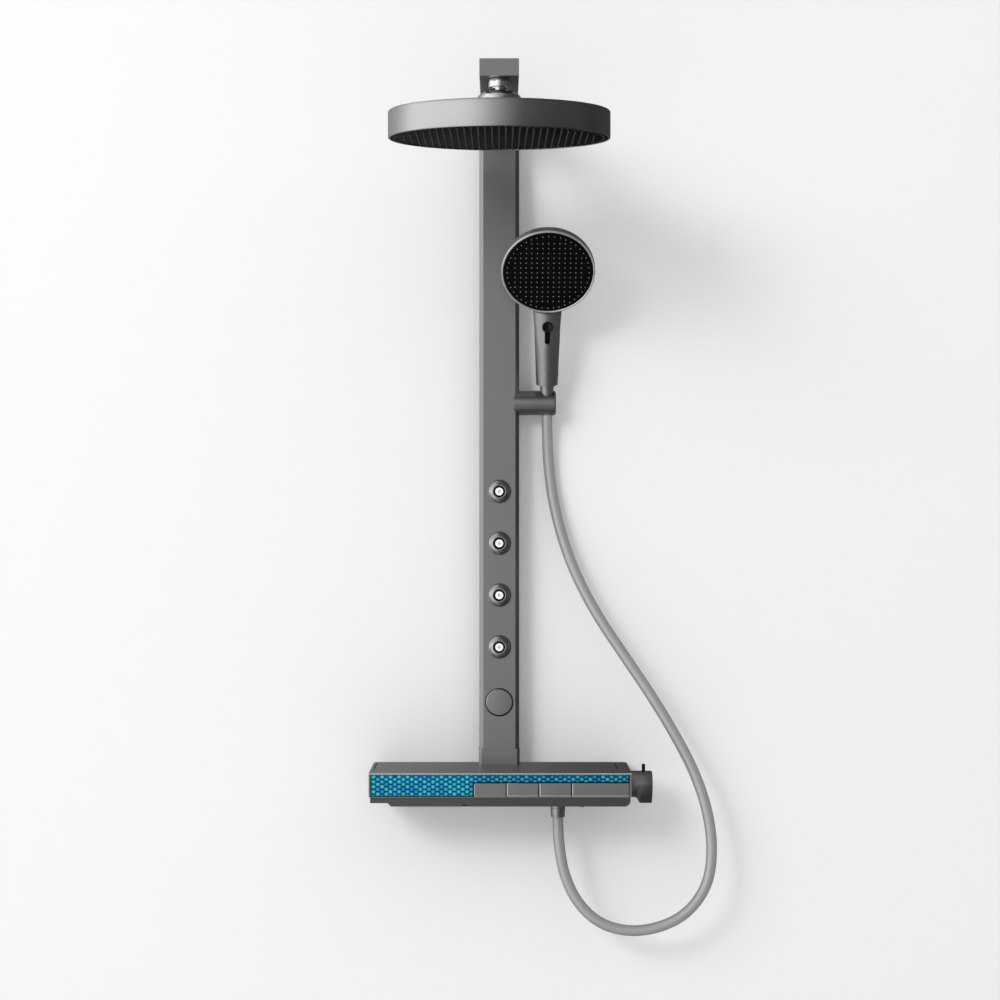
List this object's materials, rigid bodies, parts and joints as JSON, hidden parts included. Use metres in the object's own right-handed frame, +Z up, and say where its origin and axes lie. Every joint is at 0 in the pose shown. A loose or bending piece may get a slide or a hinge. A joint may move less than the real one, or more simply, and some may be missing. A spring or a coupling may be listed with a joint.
{
  "type": "shower column",
  "caption": "Wall-mounted shower column with an overhead rain head on an arm, body jets, a hand shower on a hose and a thermostatic valve shelf with keys and a lit panel.",
  "frame": {"origin": "on the wall, halfway between the hot and cold inlets", "axes": "+Z up, +Y into the wall, +X to the right of someone facing the shower"},
  "size_m": [0.5148, 0.543, 1.2386],
  "materials": {
    "anodised_body": "fine matt gunmetal grey",
    "handset_shell": "satin gunmetal grey",
    "zinc_block": "matt grey",
    "water_brass": "machined",
    "copper_pipe": "drawn",
    "bright_chrome": "polished",
    "black_face": "satin black",
    "light_rim": "satin light grey",
    "silicone": "soft",
    "white_nozzle": "satin white",
    "inner_plastic": "moulded",
    "spring_steel": "drawn wire",
    "light_glass": "clear face over a lit scale pattern",
    "light_board": "circuit board",
    "hose_cover": "smooth satin grey"
  },
  "bodies": {
    "root": {"column_profile": "anodised_body", "column_foot": "anodised_body", "arm_tube": "anodised_body", "arm_end_cap": "anodised_body", "shelf_tray": "anodised_body", "lower_cover": "anodised_body", "fascia_plate": "anodised_body", "holder_base": "anodised_body", "top_block": "zinc_block", "wall_bracket": "zinc_block", "outlet_nipple": "water_brass", "ball_stem": "water_brass", "valve_body": "water_brass", "hose_outlet": "water_brass", "riser_pipe": "copper_pipe", "arm_pipe": "copper_pipe", "swivel_nut": "bright_chrome", "jet_bezel_1": "bright_chrome", "jet_bezel_2": "bright_chrome", "jet_bezel_3": "bright_chrome", "jet_bezel_4": "bright_chrome", "hose_nut_lower": "bright_chrome", "inlet_unions": "bright_chrome", "jet_manifold": "inner_plastic", "button_valve": "inner_plastic", "key_cartridge_1": "inner_plastic", "key_cartridge_2": "inner_plastic", "key_cartridge_3": "inner_plastic", "thermostat_cartridge": "inner_plastic", "key_spring_1": "spring_steel", "key_spring_2": "spring_steel", "key_spring_3": "spring_steel", "button_spring": "spring_steel", "cover_screw": "spring_steel", "light_panel": "light_glass", "light_board": "light_board", "hose": "hose_cover"},
    "ball_seat": {"ball_seat_ring": "inner_plastic"},
    "head": {"head_collar": "bright_chrome", "head_shell": "anodised_body", "head_face_plate": "black_face", "head_nozzle_mat": "silicone"},
    "jet_1": {"jet_nozzle_1": "white_nozzle"},
    "jet_2": {"jet_nozzle_2": "white_nozzle"},
    "jet_3": {"jet_nozzle_3": "white_nozzle"},
    "jet_4": {"jet_nozzle_4": "white_nozzle"},
    "key_1": {"key_1": "anodised_body"},
    "key_2": {"key_2": "anodised_body"},
    "key_3": {"key_3": "anodised_body"},
    "round_button": {"round_button": "anodised_body"},
    "knob": {"knob": "anodised_body"},
    "knob_pin": {"knob_pin": "black_face"},
    "holder": {"holder_barrel": "anodised_body"},
    "handset": {"handset_body": "handset_shell", "handset_rim": "light_rim", "handset_face_plate": "black_face", "handset_slot_plate": "black_face", "hose_nut_upper": "bright_chrome"},
    "thumb": {"handset_thumb_slide": "black_face"}
  },
  "joints": [
    {"name": "head_tilt", "type": "hinge", "parent": "root", "child": "ball_seat", "pos_m": [0, -0.394, 0.96], "axis": [1, 0, 0], "range_deg": [-13, 10]},
    {"name": "head_spin", "type": "hinge", "parent": "ball_seat", "child": "head", "pos_m": [0, -0.394, 0.96], "axis": [0, -0.0523, 0.9986], "continuous": true},
    {"name": "jet_1_aim", "type": "hinge", "parent": "root", "child": "jet_1", "pos_m": [0, -0.048, 0.436], "axis": [1, 0, 0], "range_deg": [-12, 12]},
    {"name": "jet_2_aim", "type": "hinge", "parent": "root", "child": "jet_2", "pos_m": [0, -0.048, 0.358], "axis": [1, 0, 0], "range_deg": [-12, 12]},
    {"name": "jet_3_aim", "type": "hinge", "parent": "root", "child": "jet_3", "pos_m": [0, -0.048, 0.28], "axis": [1, 0, 0], "range_deg": [-12, 12]},
    {"name": "jet_4_aim", "type": "hinge", "parent": "root", "child": "jet_4", "pos_m": [0, -0.048, 0.202], "axis": [1, 0, 0], "range_deg": [-12, 12]},
    {"name": "key_1_press", "type": "slide", "parent": "root", "child": "key_1", "axis": [0, 1, 0], "range_m": [0, 0.003], "stiffness_N_per_m": 700, "springref_m": -0.002, "deforming": ["key_spring_1"]},
    {"name": "key_2_press", "type": "slide", "parent": "root", "child": "key_2", "axis": [0, 1, 0], "range_m": [0, 0.003], "stiffness_N_per_m": 700, "springref_m": -0.002, "deforming": ["key_spring_2"]},
    {"name": "key_3_press", "type": "slide", "parent": "root", "child": "key_3", "axis": [0, 1, 0], "range_m": [0, 0.003], "stiffness_N_per_m": 700, "springref_m": -0.002, "deforming": ["key_spring_3"]},
    {"name": "round_button_press", "type": "slide", "parent": "root", "child": "round_button", "axis": [0, 1, 0], "range_m": [0, 0.0025], "stiffness_N_per_m": 700, "springref_m": -0.002, "deforming": ["button_spring"]},
    {"name": "knob_turn", "type": "hinge", "parent": "root", "child": "knob", "pos_m": [0.211, -0.08, 0], "axis": [1, 0, 0], "range_deg": [-150, 60]},
    {"name": "knob_pin_press", "type": "slide", "parent": "knob", "child": "knob_pin", "axis": [0, 0, -1], "range_m": [0, 0.004], "stiffness_N_per_m": 300, "springref_m": -0.002},
    {"name": "holder_tilt", "type": "hinge", "parent": "root", "child": "holder", "pos_m": [0.0718, -0.031, 0.57], "axis": [1, 0, 0], "range_deg": [-13, 20], "deforming": ["hose"]},
    {"name": "handset_lift", "type": "slide", "parent": "holder", "child": "handset", "axis": [0, -0.342, 0.9397], "range_m": [0, 0.04]},
    {"name": "thumb_slide", "type": "slide", "parent": "handset", "child": "thumb", "axis": [0, 0.2063, -0.9785], "range_m": [0, 0.022]}
  ]
}
